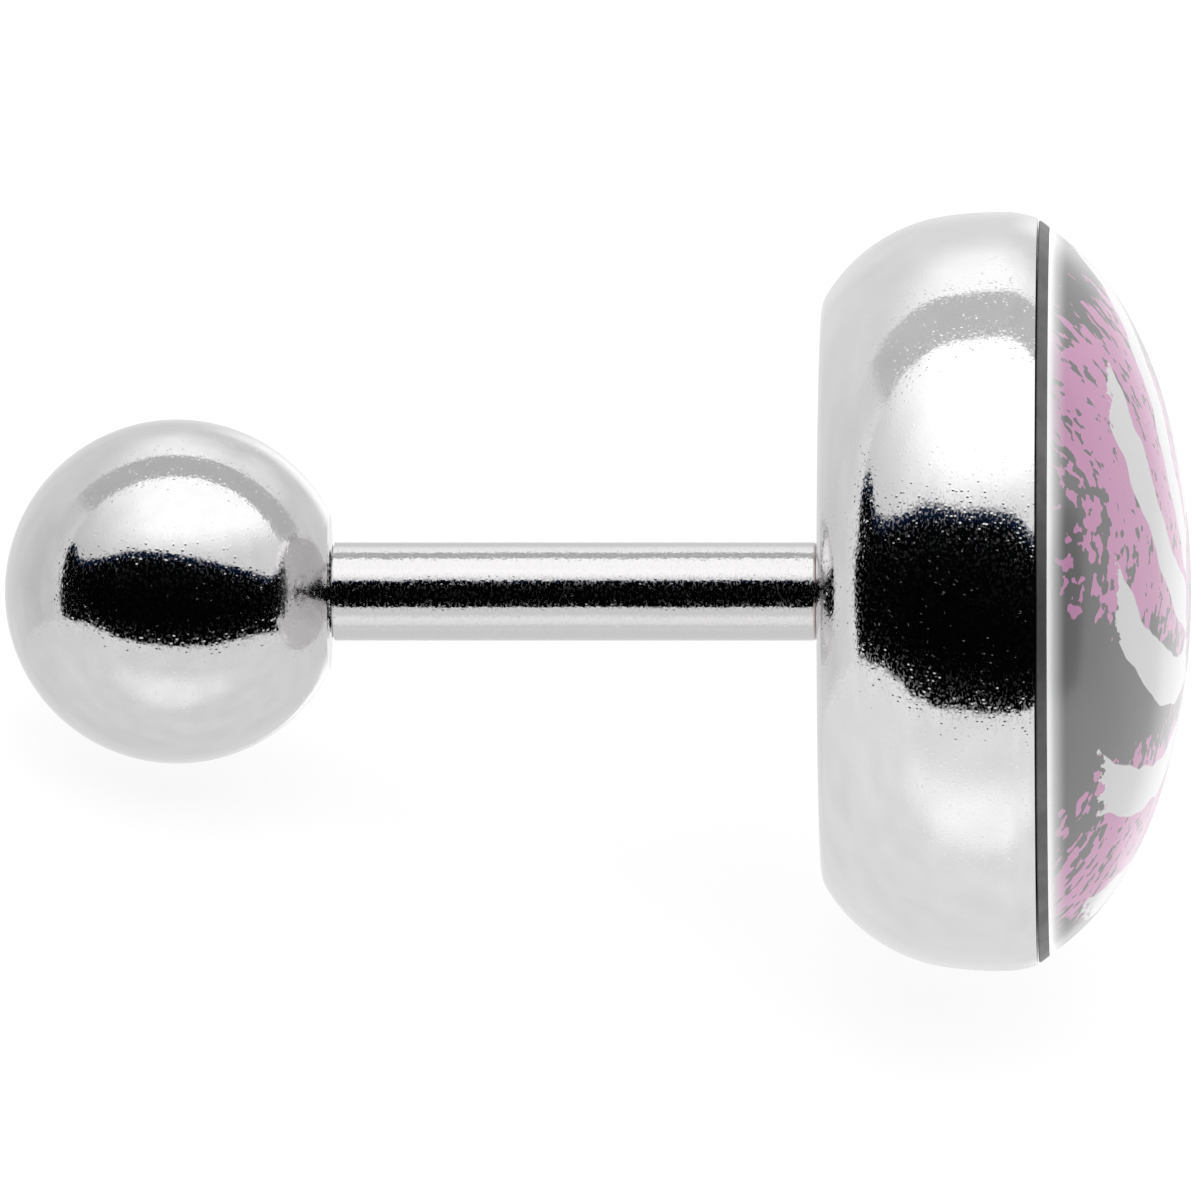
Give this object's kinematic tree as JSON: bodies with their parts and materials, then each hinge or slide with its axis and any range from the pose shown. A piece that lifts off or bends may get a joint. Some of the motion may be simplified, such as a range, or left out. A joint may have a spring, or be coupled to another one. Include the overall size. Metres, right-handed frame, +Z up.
{
  "type": "tragus stud",
  "caption": "Ear stud: a straight round post soldered to a round steel cup that carries a glossy printed dome, closed at its other end by a screw-on steel ball.",
  "frame": {"origin": "centre of the bottom of the bounding box, on the table that the stud lies on", "axes": "+X level, along the stud towards its dome; +Z up; the post rises 14.47 degrees from +X towards +Z"},
  "size_m": [0.0144, 0.0092, 0.0091],
  "materials": {
    "polished_steel": "mirror-polished surgical steel",
    "dark_disc": "dark satin metal edge",
    "printed_dome": "print under a clear gloss dome",
    "ball_steel": "mirror-polished surgical steel"
  },
  "bodies": {
    "ball": {"ball": "ball_steel"},
    "stud": {"post_and_cup": "polished_steel", "picture_disc": "dark_disc", "dome": "printed_dome"}
  },
  "joints": [
    {"name": "unscrew", "type": "slide", "parent": "ball", "child": "stud", "axis": [0.9683, 0, 0.2498], "range_m": [0, 0.008]}
  ]
}
